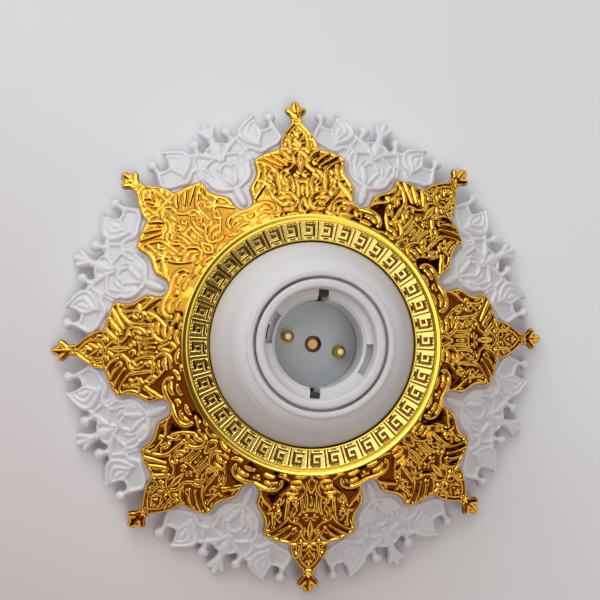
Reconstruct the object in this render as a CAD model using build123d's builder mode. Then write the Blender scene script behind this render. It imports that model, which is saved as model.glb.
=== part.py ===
import math
import os

from build123d import *

os.makedirs("parts", exist_ok=True)

# Batten lamp holder, in millimetres: the back lies on the wall at z = 0 and +Z points into the room.

# Rose: the gold star and the white filigree share one cone
point_count = 8
tip_radius = 74.0  # axis to the tip of a point
tip_height = 4.6  # top of a gold tip above the wall
slope_deg = 30.2  # fall of the cone towards the tips
seat_margin = 0.2  # flat seat outside the ring
star_thickness = 2.2
star_relief = 0.9
filigree_thickness = 2.0
filigree_relief = 0.9
plate_gap = 0.1  # between the two cones

# Ring with the Greek key
ring_height = 11.2
ring_wall = 2.2
bead_width = 1.8
band_width = 5.4
key_count = 40
key_relief = 0.5
key_line = 0.7

# Bell cover
cover_wall = 1.8
cover_gap = 0.3  # between the cover, the ring and the tower
skirt_length = 9.0
foot_rise = 0.6  # straight foot above the ring
crown_width = 3.2  # rounded shoulder outside the lip
crown_drop = 4.0  # shoulder below the mouth
mouth_gap = 0.5  # between the cover's mouth and the barrel

# Lamp barrel, for a bayonet cap of 22 mm
mouth_rise = 20.0  # mouth above the ring
barrel_radius = 16.2
guide_radius = 13.9  # wide entry that the lamp's pins pass
guide_depth = 4.5
bore_radius = 11.25
lead_in = 0.8
undercut = 0.35
lip_round = 0.8
slot_width = 2.6
slot_radius = 13.8
lock_drop = 7.0  # end of the lock below the guide's floor
slot_angle = 83.5
lock_turn = 30.0  # clockwise, as seen from the room
lock_height = 3.0
pocket_start = 142.0
pocket_turn = 36.0
pocket_depth = 3.0
pocket_skin = 0.7  # bore wall left inside the pocket
slit_start = 157.0
slit_turn = 16.0
slit_width = 0.6
ear_gap = 0.6  # between the barrel and a screw head
ear_round = 3.2
ear_thickness = 2.6
ear_drop = 3.4  # ear seat below the insert

# Insert and contacts
socket_depth = 20.0
insert_thickness = 5.5
insert_gap = 0.3
contact_angle = -17.7
contact_spacing = 14.4
plunger_radius = 1.5
plunger_proud = 3.5
plunger_travel = 3.0
plunger_gap = 0.35
collar_radius = 2.2
collar_height = 1.6
collar_roof = 2.2
tail_radius = 1.1
tail_length = 6.0
spring_wire = 0.6
spring_turns = 5
spring_steps = 6  # straight runs in one turn
spring_room = 10.0
pillar_half = 3.6  # half the side of a pillar
wire_radius = 1.5
wire_depth = 6.0

# Base
back_radius = 55.0
back_thickness = 2.8
rim_wall = 2.2
rim_gap = 0.3
tower_wall = 1.8
ear_clearance = 1.0  # between the ears and the tower
tower_drop = 2.4  # tower top below the ring's top
deck_radius = 13.0
deck_height = 11.0
entry_radius = 2.0
fixing_inset = 3.6  # from the tower's bore to a fixing hole
fixing_radius = 2.25

# Screws
plate_screw_radius = 1.5
plate_screw_head = 2.8
plate_screw_head_height = 2.0
plate_screw_bite = 6.0
plate_screw_inset = 2.8  # from the ring's bore to a screw
plate_screw_count = 2
boss_radius = 3.4
barrel_screw_radius = 1.4
barrel_screw_head = 2.6
barrel_screw_head_height = 1.8
barrel_screw_length = 12.0
centre_screw_radius = 0.9
centre_screw_head = 1.25
centre_screw_head_height = 1.5
centre_sink = 2.6
centre_sink_gap = 0.8
nut_width = 5.0
nut_height = 2.0
nut_depth = 1.2
clamp_screw_radius = 1.1
clamp_screw_head = 1.9
clamp_screw_head_height = 1.5
screw_gap = 0.06
screw_pass = 0.3

# Heights that follow
slope = math.tan(math.radians(slope_deg))
art = tip_radius / 63  # the ornament is drawn to a tip radius of 63
ear_radius = barrel_radius + ear_gap + barrel_screw_head
tower_bore = ear_radius + ear_round + ear_clearance
tower_radius = tower_bore + tower_wall
skirt_bore = tower_radius + cover_gap
cover_radius = skirt_bore + cover_wall
ring_bore = cover_radius + cover_gap
plate_bore = ring_bore + cover_gap
plate_screw_circle = ring_bore + plate_screw_inset
band_outer = ring_bore + band_width
ring_radius = band_outer + bead_width
seat_radius = ring_radius + seat_margin


def cone_height(radius):
    return tip_height + (tip_radius - radius) * slope


seat_top = cone_height(seat_radius)
filigree_top = seat_top - star_thickness
filigree_bottom = filigree_top - filigree_thickness
ring_top = seat_top + ring_height
tower_top = ring_top - tower_drop
skirt_bottom = ring_top - skirt_length
mouth_top = ring_top + mouth_rise
insert_face = mouth_top - socket_depth
insert_bottom = insert_face - insert_thickness
ear_bottom = insert_bottom - ear_drop
ear_top = ear_bottom + ear_thickness
plunger_top = insert_face + plunger_proud
bore_end = plunger_top + plunger_gap
guide_floor = mouth_top - guide_depth
insert_radius = bore_radius + undercut - insert_gap
collar_top = insert_face - collar_roof
spring_top = collar_top - collar_height
spring_floor = insert_bottom - spring_room
clamp_height = deck_height + wire_depth / 2
contact_turn = math.radians(contact_angle)


# One half of a point is flat: it runs from the point's axis to the valley, so the cone has sixteen facets
half_turn = 180.0 / point_count
facet_turn = math.radians(half_turn / 2)
valley_cos = math.cos(math.radians(half_turn))
valley_sin = math.sin(math.radians(half_turn))
facet_normal = (slope, slope * math.tan(facet_turn), 1)
reach = tip_radius + ring_height  # beyond every point of the rose
web_drop = star_thickness + plate_gap  # filigree's face below the star's face


def facet(offset):
    return Plane(origin=(0, 0, cone_height(0) + offset), z_dir=facet_normal)


def seat(offset):
    return Plane.XY.offset(seat_top + offset)


def plan(r, w):
    # A point along and across a gold point's axis
    return (r * art, w * art)


def from_valley(r, w):
    # A point along and across the valley line
    return plan(r * valley_cos + w * valley_sin, r * valley_sin - w * valley_cos)


def ridge(width, *points):
    with BuildLine() as path:
        Polyline(*points)
    trace(path.line, line_width=width * art)


def leaf(width, start, end, belly=0.45):
    along = Vector(*end) - Vector(*start)
    middle = Vector(*start) + along * belly
    side = Vector(-along.Y, along.X).normalized() * (width * art / 2)
    Polygon(start, middle - side, end, middle + side)


def on_contact_line(distance):
    return (distance * math.cos(contact_turn), distance * math.sin(contact_turn))


with BuildSketch() as facet_wedge:
    Polygon((0, 0), (reach, 0), (reach, reach * valley_sin / valley_cos))

with BuildSketch() as plate_holes:
    Circle(plate_bore)
    with PolarLocations(plate_screw_circle, plate_screw_count, start_angle=half_turn):
        Circle(plate_screw_radius + screw_pass)

# Gold star: half a point's outline, from the valley to the tip
with BuildPart() as under_star:
    add(facet_wedge.sketch)
    extrude(amount=ring_top)
    split(bisect_by=facet(-star_thickness), keep=Keep.BOTTOM)
    split(bisect_by=seat(-star_thickness), keep=Keep.BOTTOM)

with BuildPart() as star_half:
    with BuildSketch():
        with BuildLine():
            Line((0, 0), from_valley(35.8, 0))
            Polyline(
                from_valley(35.8, 0),
                from_valley(36.9, 1.4),
                from_valley(38.9, 1.9),
                from_valley(40.9, 2.7),
                from_valley(42.1, 4.4),
                plan(44.3, 10.9),
                plan(45.6, 11.7),
                plan(47.7, 8.9),
                plan(48.9, 4.75),
                plan(51.0, 4.6),
                plan(53.4, 3.4),
                plan(56.1, 1.5),
                plan(57.7, 1.35),
                plan(60.9, 2.65),
                plan(61.2, 1.3),
                plan(62.5, 0.85),
                plan(63, 0),
                (0, 0),
            )
        make_face()
    extrude(amount=ring_top)
    split(bisect_by=facet(0), keep=Keep.BOTTOM)
    split(bisect_by=seat(0), keep=Keep.BOTTOM)
    add(under_star.part, mode=Mode.SUBTRACT)

# Carving on half a point
with BuildPart() as star_carving:
    with BuildSketch():
        ridge(0.6, plan(49.4, 4.0), plan(52.9, 3.1), plan(55.6, 1.2))
        ridge(0.6, plan(45.2, 11.0), plan(42.6, 6.5), plan(37.2, 5.7))
        leaf(1.3, plan(48.3, 5.0), plan(45.3, 2.2))
        leaf(1.1, plan(46.6, 8.2), plan(44.2, 3.8))
        leaf(1.3, plan(38.4, 9.9), plan(35.3, 11.8))
        leaf(1.7, plan(42.6, 4.4), plan(37.4, 3.4))
        leaf(1.1, plan(36.4, 5.4), plan(32.6, 2.2))
        leaf(1.1, plan(33.9, 7.6), plan(31.8, 12.0))
        with Locations(plan(39.7, 8.9)):
            RegularPolygon(1.6 * art, 5)
        Polygon(plan(50.2, 0), plan(53.0, 0.9), plan(54.2, 0))
        Polygon(plan(58.2, 0), plan(61.5, 0.8), plan(62.6, 0))
        Polygon(plan(42.4, 0), plan(45.6, 0.8), plan(48.2, 0))
        Polygon(plan(31.4, 0), plan(34.6, 0.9), plan(39.5, 0))
    extrude(amount=mouth_top)
    split(bisect_by=facet(star_relief), keep=Keep.BOTTOM)
    split(bisect_by=facet(-star_thickness / 2), keep=Keep.TOP)

with BuildPart() as star_plate:
    with PolarLocations(0, point_count):
        add(star_half.part)
        add(star_carving.part)
    mirror(about=Plane.XZ)
    add(plate_holes.sketch)
    extrude(amount=seat_top, mode=Mode.SUBTRACT)
star_plate.part.label = "star_plate"
export_step(star_plate.part, "parts/star_plate.step")

# White filigree: half a lobe beside the valley line, on a web that runs on under the star
with BuildPart() as under_filigree:
    add(facet_wedge.sketch)
    extrude(amount=ring_top)
    split(bisect_by=facet(-web_drop - filigree_thickness), keep=Keep.BOTTOM)
    split(bisect_by=seat(-star_thickness - filigree_thickness), keep=Keep.BOTTOM)

with BuildPart() as filigree_half:
    with BuildSketch():
        Polygon((0, 0), plan(53.4, 0), from_valley(54.4, 2.6), from_valley(54.6, 0))
    extrude(amount=ring_top)
    split(bisect_by=facet(-web_drop), keep=Keep.BOTTOM)
    split(bisect_by=seat(-star_thickness), keep=Keep.BOTTOM)
    add(under_filigree.part, mode=Mode.SUBTRACT)

with BuildPart() as filigree_carving:
    with BuildSketch():
        with BuildLine():
            Polyline(
                from_valley(50.6, 0),
                from_valley(53.6, 1.5),
                from_valley(56.2, 0.9),
                from_valley(60.5, 2.3),
                from_valley(61.0, 0.95),
                from_valley(63, 0),
                from_valley(50.6, 0),
            )
        make_face()
        with BuildLine():
            Polyline(
                from_valley(50.0, 3.6),
                from_valley(48.6, 0),
                from_valley(36.6, 0),
                from_valley(39.0, 1.3),
                from_valley(41.7, 1.3),
                from_valley(43.6, 4.3),
                from_valley(46.6, 5.2),
                from_valley(50.0, 3.6),
            )
        make_face()
        with BuildLine():
            Polyline(
                from_valley(55.0, 7.2),
                from_valley(57.3, 9.6),
                from_valley(58.75, 13.4),
                from_valley(55.9, 12.7),
                from_valley(54.2, 13.2),
                from_valley(50.3, 11.0),
                from_valley(52.1, 8.6),
                from_valley(55.0, 7.2),
            )
        make_face()
        with Locations(from_valley(57.5, 4.75)):
            RegularPolygon(1.2 * art, 5)
        with Locations(from_valley(56.4, 16.2)):
            RegularPolygon(1.25 * art, 5)
        ridge(0.9, from_valley(56.9, 4.8), from_valley(51.0, 6.9), from_valley(49.0, 11.0))
        ridge(0.9, from_valley(52.9, 1.2), from_valley(54.9, 7.4))
        ridge(0.9, from_valley(55.8, 16.0), from_valley(50.4, 15.5))
    extrude(amount=ring_top)
    split(bisect_by=facet(filigree_relief - web_drop), keep=Keep.BOTTOM)
    split(bisect_by=facet(-web_drop - filigree_thickness), keep=Keep.TOP)

with BuildPart() as filigree_plate:
    with PolarLocations(0, point_count):
        add(filigree_half.part)
        add(filigree_carving.part)
    mirror(about=Plane.XZ)
    add(plate_holes.sketch)
    extrude(amount=seat_top, mode=Mode.SUBTRACT)
filigree_plate.part.label = "filigree_plate"
export_step(filigree_plate.part, "parts/filigree_plate.step")

# Gold ring: hollow section, a bead round the edge and a Greek key on the band
band_middle = (band_outer + ring_bore) / 2
key_floor = ring_top - key_relief
key_pitch = 2 * math.pi * band_middle / key_count
key_long = band_width - key_line * 2
key_wide = key_pitch - key_line * 2
boss_top = key_floor - ring_wall

with BuildPart() as meander_ring:
    with BuildSketch(Plane.XZ):
        with BuildLine():
            Polyline(
                (band_outer, key_floor),
                (ring_bore, key_floor),
                (ring_bore, boss_top),
                (ring_radius - ring_wall, boss_top),
                (ring_radius - ring_wall, seat_top),
                (ring_radius, seat_top),
                (ring_radius, key_floor),
                (ring_radius - bead_width / 4, ring_top),
                (band_outer + bead_width / 4, ring_top),
                (band_outer, key_floor),
            )
        make_face()
    revolve(axis=Axis.Z)
    with BuildSketch(Plane.XY.offset(seat_top)):
        with PolarLocations(plate_screw_circle, plate_screw_count, start_angle=half_turn):
            Circle(boss_radius)
        Circle(plate_bore, mode=Mode.SUBTRACT)
    extrude(amount=boss_top - seat_top)
    with BuildSketch(Plane.XY.offset(seat_top)):
        with PolarLocations(plate_screw_circle, plate_screw_count, start_angle=half_turn):
            Circle(plate_screw_radius + screw_gap)
    extrude(amount=plate_screw_bite + screw_gap, mode=Mode.SUBTRACT)
    with BuildSketch(Plane.XY.offset(key_floor)):
        with PolarLocations(band_middle, key_count):
            with Locations((0, -key_wide / 2)):
                Rectangle(key_long, key_line)
            with Locations(((key_long - key_line) / 2, 0)):
                Rectangle(key_line, key_wide)
            with Locations((key_line / 2, (key_wide - key_line) / 2)):
                Rectangle(key_long - key_line, key_line)
    extrude(amount=key_relief)
meander_ring.part.label = "meander_ring"
export_step(meander_ring.part, "parts/meander_ring.step")

# White bell cover, which screws down over the tower
cover_mouth = barrel_radius + mouth_gap
lip_radius = cover_mouth + cover_wall
crown_radius = lip_radius + crown_width
crown_start = mouth_top - crown_drop
ledge_top = ring_top + cover_wall * 3

with BuildPart() as dome_cover:
    with BuildSketch(Plane.XZ):
        with BuildLine():
            Polyline(
                (cover_radius, skirt_bottom),
                (cover_radius, ring_top + foot_rise),
                (crown_radius, crown_start),
                (crown_radius - crown_width * 0.3, crown_start + crown_drop * 0.4),
                (lip_radius, mouth_top - lip_round),
                (lip_radius - lip_round, mouth_top),
                (cover_mouth, mouth_top),
                (cover_mouth, mouth_top - cover_wall),
                (crown_radius - cover_wall, crown_start - cover_wall),
                (tower_bore, ledge_top),
                (tower_bore, tower_top),
                (skirt_bore, tower_top),
                (skirt_bore, skirt_bottom),
                (cover_radius, skirt_bottom),
            )
        make_face()
    revolve(axis=Axis.Z)
dome_cover.part.label = "dome_cover"
export_step(dome_cover.part, "parts/dome_cover.step")

# White lamp barrel: wide guide, bore with two pin slots, and ears that screw to the base
tail_bore = bore_radius + undercut
ears = Locations((0, ear_radius), (0, -ear_radius))

with BuildPart() as bayonet_barrel:
    with BuildSketch(Plane.XZ):
        Polygon(
            (barrel_radius - lip_round, mouth_top),
            (guide_radius + lip_round, mouth_top),
            (guide_radius, mouth_top - lip_round),
            (guide_radius, guide_floor),
            (bore_radius + lead_in, guide_floor),
            (bore_radius, guide_floor - lead_in),
            (bore_radius, bore_end),
            (tail_bore, bore_end),
            (tail_bore, ear_bottom),
            (barrel_radius, ear_bottom),
            (barrel_radius, mouth_top - lip_round),
        )
    revolve(axis=Axis.Z)
    with BuildSketch(Plane.XY.offset(ear_bottom)):
        SlotCenterToCenter(ear_radius * 2, ear_round * 2, rotation=90)
        Circle(tail_bore, mode=Mode.SUBTRACT)
        with ears:
            Circle(barrel_screw_radius + screw_pass, mode=Mode.SUBTRACT)
    extrude(amount=ear_thickness)
    with BuildSketch(Plane.XY.offset(guide_floor)):
        with PolarLocations(bore_radius, 2, start_angle=slot_angle):
            Rectangle(bore_radius, slot_width)
        Circle(slot_radius, mode=Mode.INTERSECT)
    extrude(amount=ear_bottom - guide_floor, mode=Mode.SUBTRACT)
    with BuildSketch(Plane.XY.offset(guide_floor)):
        with BuildLine():
            CenterArc((0, 0), slot_radius, slit_start, slit_turn)
            PolarLine((0, 0), slot_radius, slit_start)
            PolarLine((0, 0), slot_radius, slit_start + slit_turn)
        make_face()
        Circle(slot_radius - slit_width, mode=Mode.SUBTRACT)
    extrude(amount=ear_bottom - guide_floor, mode=Mode.SUBTRACT)
    with BuildSketch(Plane.XY.offset(guide_floor - lock_drop)):
        with BuildLine():
            CenterArc((0, 0), slot_radius, slot_angle, -lock_turn)
            PolarLine((0, 0), slot_radius, slot_angle)
            PolarLine((0, 0), slot_radius, slot_angle - lock_turn)
        make_face()
        with BuildLine():
            CenterArc((0, 0), slot_radius, slot_angle + 180, -lock_turn)
            PolarLine((0, 0), slot_radius, slot_angle + 180)
            PolarLine((0, 0), slot_radius, slot_angle + 180 - lock_turn)
        make_face()
    extrude(amount=lock_height, mode=Mode.SUBTRACT)
    with BuildSketch(Plane.XY.offset(guide_floor)):
        with BuildLine():
            CenterArc((0, 0), slot_radius, pocket_start, pocket_turn)
            PolarLine((0, 0), slot_radius, pocket_start)
            PolarLine((0, 0), slot_radius, pocket_start + pocket_turn)
        make_face()
        with BuildLine():
            CenterArc((0, 0), slot_radius, pocket_start + 180, pocket_turn)
            PolarLine((0, 0), slot_radius, pocket_start + 180)
            PolarLine((0, 0), slot_radius, pocket_start + 180 + pocket_turn)
        make_face()
        Circle(bore_radius + pocket_skin, mode=Mode.SUBTRACT)
    extrude(amount=-pocket_depth, mode=Mode.SUBTRACT)
bayonet_barrel.part.label = "bayonet_barrel"
export_step(bayonet_barrel.part, "parts/bayonet_barrel.step")

# Grey insert that carries the two contacts
contacts = Locations(on_contact_line(-contact_spacing / 2), on_contact_line(contact_spacing / 2))
pocket_radius = collar_radius + plunger_gap

with BuildPart() as contact_insert:
    with BuildSketch(Plane.XY.offset(insert_bottom)):
        Circle(insert_radius)
        Circle(centre_screw_radius + screw_gap, mode=Mode.SUBTRACT)
        with contacts:
            Circle(plunger_radius + plunger_gap, mode=Mode.SUBTRACT)
    extrude(amount=insert_thickness)
    with BuildSketch(Plane.XY.offset(insert_bottom)):
        with contacts:
            Circle(pocket_radius)
    extrude(amount=insert_thickness - collar_roof, mode=Mode.SUBTRACT)
    with BuildSketch(Plane.XY.offset(insert_face)):
        Circle(centre_screw_head + centre_sink_gap)
    extrude(amount=-centre_sink, mode=Mode.SUBTRACT)
contact_insert.part.label = "contact_insert"
export_step(contact_insert.part, "parts/contact_insert.step")

# Each contact: plunger, spring, brass pillar and the screw that clamps its wire
spring_radius = (pocket_radius + tail_radius) / 2
pillar_side = pillar_half * 2

for side, sign in (("left", -1), ("right", 1)):
    centre = on_contact_line(sign * contact_spacing / 2)
    outward = on_contact_line(sign)
    with BuildPart() as plunger:
        with BuildSketch(Plane(origin=(*centre, 0), x_dir=(1, 0, 0), z_dir=(0, -1, 0))):
            Polygon(
                (0, plunger_top),
                (plunger_radius / 2, plunger_top),
                (plunger_radius, plunger_top - plunger_radius / 2),
                (plunger_radius, collar_top),
                (collar_radius, collar_top),
                (collar_radius, spring_top),
                (tail_radius, spring_top),
                (tail_radius, spring_top - tail_length),
                (0, spring_top - tail_length),
            )
        revolve(axis=Axis((*centre, 0), (0, 0, 1)))
    plunger.part.label = "plunger_" + side
    export_step(plunger.part, "parts/plunger_" + side + ".step")

    with BuildPart() as plunger_spring:
        coil_height = spring_top - spring_floor - spring_wire
        coil = []
        for step in range(spring_turns * spring_steps + 1):
            turn = 2 * math.pi * step / spring_steps
            rise = coil_height * step / (spring_turns * spring_steps)
            coil.append((
                centre[0] + spring_radius * math.cos(turn),
                centre[1] + spring_radius * math.sin(turn),
                spring_floor + spring_wire / 2 + rise,
            ))
        with BuildLine() as coil_line:
            Polyline(*coil)
        with BuildSketch(Plane(origin=coil[0], x_dir=(1, 0, 0), z_dir=(0, 1, 0))):
            Rectangle(spring_wire, spring_wire)
        sweep(path=coil_line.line, transition=Transition.RIGHT)
    plunger_spring.part.label = "plunger_spring_" + side
    export_step(plunger_spring.part, "parts/plunger_spring_" + side + ".step")

    clamp_plane = Plane(origin=(*centre, clamp_height), x_dir=(0, 0, 1), z_dir=(*outward, 0))
    with BuildPart() as terminal_pillar:
        with BuildSketch(Plane(origin=(*centre, deck_height), x_dir=(*outward, 0))):
            Rectangle(pillar_side, pillar_side)
        extrude(amount=insert_bottom - deck_height)
        with BuildSketch(Plane(origin=(*centre, insert_bottom))):
            Circle(pocket_radius)
        extrude(amount=-spring_room, mode=Mode.SUBTRACT)
        with BuildSketch(Plane(origin=(*centre, deck_height))):
            Circle(wire_radius)
        extrude(amount=wire_depth, mode=Mode.SUBTRACT)
        with BuildSketch(clamp_plane):
            Circle(clamp_screw_radius + screw_gap)
        extrude(amount=pillar_side, mode=Mode.SUBTRACT)
    terminal_pillar.part.label = "terminal_pillar_" + side
    export_step(terminal_pillar.part, "parts/terminal_pillar_" + side + ".step")

    with BuildPart() as terminal_screw:
        with BuildSketch(clamp_plane.offset(wire_radius / 2)):
            Circle(clamp_screw_radius)
        extrude(amount=pillar_half - wire_radius / 2)
        with BuildSketch(clamp_plane.offset(pillar_half)):
            RegularPolygon(clamp_screw_head, 6)
        extrude(amount=clamp_screw_head_height)
    terminal_screw.part.label = "terminal_screw_" + side
    export_step(terminal_screw.part, "parts/terminal_screw_" + side + ".step")

# Centre screw and its nut
screw_seat = insert_face - centre_sink
nut_top = nut_depth + nut_height

with BuildPart() as centre_screw:
    with BuildSketch():
        Circle(centre_screw_radius)
    extrude(amount=screw_seat)
    with BuildSketch(Plane.XY.offset(screw_seat)):
        Circle(centre_screw_head)
    extrude(amount=centre_screw_head_height)
    with BuildSketch():
        Circle(centre_screw_radius)
    extrude(amount=nut_depth, mode=Mode.SUBTRACT)
centre_screw.part.label = "centre_screw"
export_step(centre_screw.part, "parts/centre_screw.step")

with BuildPart() as centre_nut:
    with BuildSketch(Plane.XY.offset(nut_depth)):
        RegularPolygon(nut_width / 2, 6, major_radius=False)
        Circle(centre_screw_radius + screw_gap, mode=Mode.SUBTRACT)
    extrude(amount=nut_height)
centre_nut.part.label = "centre_nut"
export_step(centre_nut.part, "parts/centre_nut.step")

# White base: back plate, rim under the rose, tower for the cover, posts, bosses and the terminal deck
rim_top = cone_height(back_radius) - web_drop - filigree_thickness - rim_gap
head_seat = plate_screw_head_height + screw_pass
plate_screws_at = PolarLocations(plate_screw_circle, plate_screw_count, start_angle=half_turn)

with BuildPart() as holder_base:
    with BuildSketch(Plane.XZ):
        Polygon(
            (0, 0),
            (tower_radius, 0),
            (tower_radius, tower_top),
            (tower_bore, tower_top),
            (tower_bore, back_thickness),
            (deck_radius, back_thickness),
            (deck_radius, deck_height),
            (0, deck_height),
        )
    revolve(axis=Axis.Z)
    with BuildSketch():
        RegularPolygon(back_radius, point_count * 2)
        Circle(tower_bore, mode=Mode.SUBTRACT)
    extrude(amount=back_thickness)
    with BuildSketch():
        RegularPolygon(back_radius, point_count * 2)
        offset(amount=-rim_wall, kind=Kind.INTERSECTION, mode=Mode.SUBTRACT)
    extrude(amount=rim_top)
    with BuildSketch():
        with plate_screws_at:
            Circle(boss_radius)
    extrude(amount=filigree_bottom)
    with BuildSketch():
        with ears:
            Circle(ear_round)
    extrude(amount=ear_bottom)
    with BuildSketch():
        with plate_screws_at:
            Circle(plate_screw_radius + screw_gap)
        with contacts:
            Circle(entry_radius)
        with GridLocations((tower_bore - fixing_inset) * 2, 0, 2, 1):
            Circle(fixing_radius)
        Circle(centre_screw_radius + screw_gap)
    extrude(amount=ear_bottom, mode=Mode.SUBTRACT)
    with BuildSketch():
        with plate_screws_at:
            Circle(plate_screw_head + screw_pass)
    extrude(amount=head_seat, mode=Mode.SUBTRACT)
    with BuildSketch():
        RegularPolygon(nut_width / 2 + screw_gap, 6, major_radius=False)
    extrude(amount=nut_top, mode=Mode.SUBTRACT)
    with BuildSketch(Plane.XY.offset(ear_bottom)):
        with ears:
            Circle(barrel_screw_radius + screw_gap)
    extrude(amount=-barrel_screw_length, mode=Mode.SUBTRACT)
holder_base.part.label = "holder_base"
export_step(holder_base.part, "parts/holder_base.step")

# Screws from behind that clamp the ring, the star and the filigree to the base
with BuildPart() as plate_screws:
    with BuildSketch(Plane.XY.offset(head_seat)):
        with plate_screws_at:
            RegularPolygon(plate_screw_head, 6)
    extrude(amount=-plate_screw_head_height)
    with BuildSketch(Plane.XY.offset(head_seat)):
        with plate_screws_at:
            Circle(plate_screw_radius)
    extrude(amount=seat_top + plate_screw_bite - head_seat)
plate_screws.part.label = "plate_screws"
export_step(plate_screws.part, "parts/plate_screws.step")

# Screws through the barrel's ears
with BuildPart() as barrel_screws:
    with BuildSketch(Plane.XY.offset(ear_top)):
        with ears:
            RegularPolygon(barrel_screw_head, 6)
    extrude(amount=barrel_screw_head_height)
    with BuildSketch(Plane.XY.offset(ear_top)):
        with ears:
            Circle(barrel_screw_radius)
    extrude(amount=screw_gap - barrel_screw_length - ear_thickness)
barrel_screws.part.label = "barrel_screws"
export_step(barrel_screws.part, "parts/barrel_screws.step")
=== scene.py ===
import math

import bmesh
import bpy
import numpy
from mathutils import Matrix, Vector


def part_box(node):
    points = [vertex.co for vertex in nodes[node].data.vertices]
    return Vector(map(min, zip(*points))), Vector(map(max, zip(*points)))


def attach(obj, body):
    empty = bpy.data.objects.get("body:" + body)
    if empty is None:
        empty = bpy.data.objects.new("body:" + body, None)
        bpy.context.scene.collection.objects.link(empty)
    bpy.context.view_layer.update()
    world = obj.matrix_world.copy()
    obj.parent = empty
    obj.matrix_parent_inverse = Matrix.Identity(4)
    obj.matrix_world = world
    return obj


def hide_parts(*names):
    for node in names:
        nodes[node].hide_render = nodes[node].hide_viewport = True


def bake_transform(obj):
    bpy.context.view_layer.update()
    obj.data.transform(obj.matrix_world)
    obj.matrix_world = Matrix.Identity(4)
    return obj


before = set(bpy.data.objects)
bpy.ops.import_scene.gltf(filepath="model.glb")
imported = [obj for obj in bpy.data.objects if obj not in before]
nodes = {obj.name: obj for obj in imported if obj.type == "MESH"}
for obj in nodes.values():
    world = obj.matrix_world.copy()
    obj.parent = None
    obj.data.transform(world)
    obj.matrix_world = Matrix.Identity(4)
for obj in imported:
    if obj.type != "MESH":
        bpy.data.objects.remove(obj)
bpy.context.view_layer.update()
print("frame loaded:", len(nodes), "nodes")

# lengths are in millimetres until a piece is finished
rose = {
    "points": 8,
    "tipRadius": 74.0,
    "tipHeight": 4.6,
    "slopeDegrees": 30.2,
    "drawnRadius": 63.0,  # tip radius of the drawing that the ornament is read from
    "seatRadius": 35.2,
    "ringHeight": 11.2,  # of the ring above its seat
    "mouthRise": 20.0,  # of the barrel's mouth above the ring
}
slope = math.tan(math.radians(rose["slopeDegrees"]))
art = rose["tipRadius"] / rose["drawnRadius"]
valleyTurn = math.pi / rose["points"]
seatTop = rose["tipHeight"] + (rose["tipRadius"] - rose["seatRadius"]) * slope
ringTop = seatTop + rose["ringHeight"]
mouthTop = ringTop + rose["mouthRise"]
clear = 9.0  # a distance beyond every edge
weld = {"mirror": 0.002, "spin": 0.004, "turned": 0.001, "joined": 0.002}


def coneHeight(x, y):
    fall = rose["tipHeight"] + (rose["tipRadius"] - numpy.hypot(x, y)) * slope
    return numpy.minimum(fall, seatTop)


# a stroke is its half width, height, taper and points (across, along)
def smoothPath(points, steps=5):
    if len(points) < 3:
        return points
    ends = [points[0]] + list(points) + [points[-1]]
    path = []
    for a, b, c, d in zip(ends[:-3], ends[1:-2], ends[2:-1], ends[3:]):
        for step in range(steps):
            t = step / steps
            spot = []
            for p, q, r, s in zip(a, b, c, d):
                bend = 2 * p - 5 * q + 4 * r - s
                swing = 3 * q - p - 3 * r + s
                spot.append(0.5 * (2 * q + (r - p) * t + bend * t * t + swing * t ** 3))
            path.append(tuple(spot))
    return path + [points[-1]]


def offsets(w, r, a, b):
    # distances across and along from the nearest spot on a straight run, and that spot's share of the run
    run = (b[0] - a[0], b[1] - a[1])
    square = max(run[0] ** 2 + run[1] ** 2, 1e-9)
    t = numpy.clip(((w - a[0]) * run[0] + (r - a[1]) * run[1]) / square, 0, 1)
    return w - a[0] - t * run[0], r - a[1] - t * run[1], t


def strokeReach(w, r, stroke):
    # distance from a stroke's line, as a share of its half width there
    half = stroke[0]
    taper = stroke[2]
    path = smoothPath(stroke[3])
    best = numpy.full(w.shape, 1e3)
    count = len(path) - 1
    for i, (a, b) in enumerate(zip(path[:-1], path[1:])):
        dw, dr, t = offsets(w, r, a, b)
        wide = half * (1 - taper * numpy.abs(2 * (i + t) / count - 1))
        best = numpy.minimum(best, numpy.hypot(dw, dr) / wide)
    return best


def raised(w, r, strokes, softness):
    # higher softness gives a ridge with a gentler foot
    height = numpy.zeros(w.shape)
    for stroke in strokes:
        reach = numpy.minimum(strokeReach(w, r, stroke), 1)
        height = numpy.maximum(height, stroke[1] * (1 - reach ** 2) ** softness)
    return height


def insidePolygon(w, r, corners):
    # signed distance to a drawn outline, positive inside
    best = numpy.full(w.shape, 1e3)
    inside = numpy.zeros(w.shape, bool)
    for a, b in zip(corners, corners[1:] + corners[:1]):
        dw, dr = offsets(w, r, a, b)[:2]
        best = numpy.minimum(best, numpy.hypot(dw, dr))
        crosses = (a[1] > r) != (b[1] > r)
        climb = b[1] - a[1]
        side = a[0] + (r - a[1]) * (b[0] - a[0]) / (climb if abs(climb) > 1e-9 else 1e-9)
        inside ^= crosses & (w < side)
    return numpy.where(inside, best, -best)


edgeCut = {
    "margin": 0.02,  # a corner this far inside stays where it is
    "probe": 0.05,  # share of a cell over which the outline's direction is read
    "rounds": 4,
    "leastSlope": 0.2,
}


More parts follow.
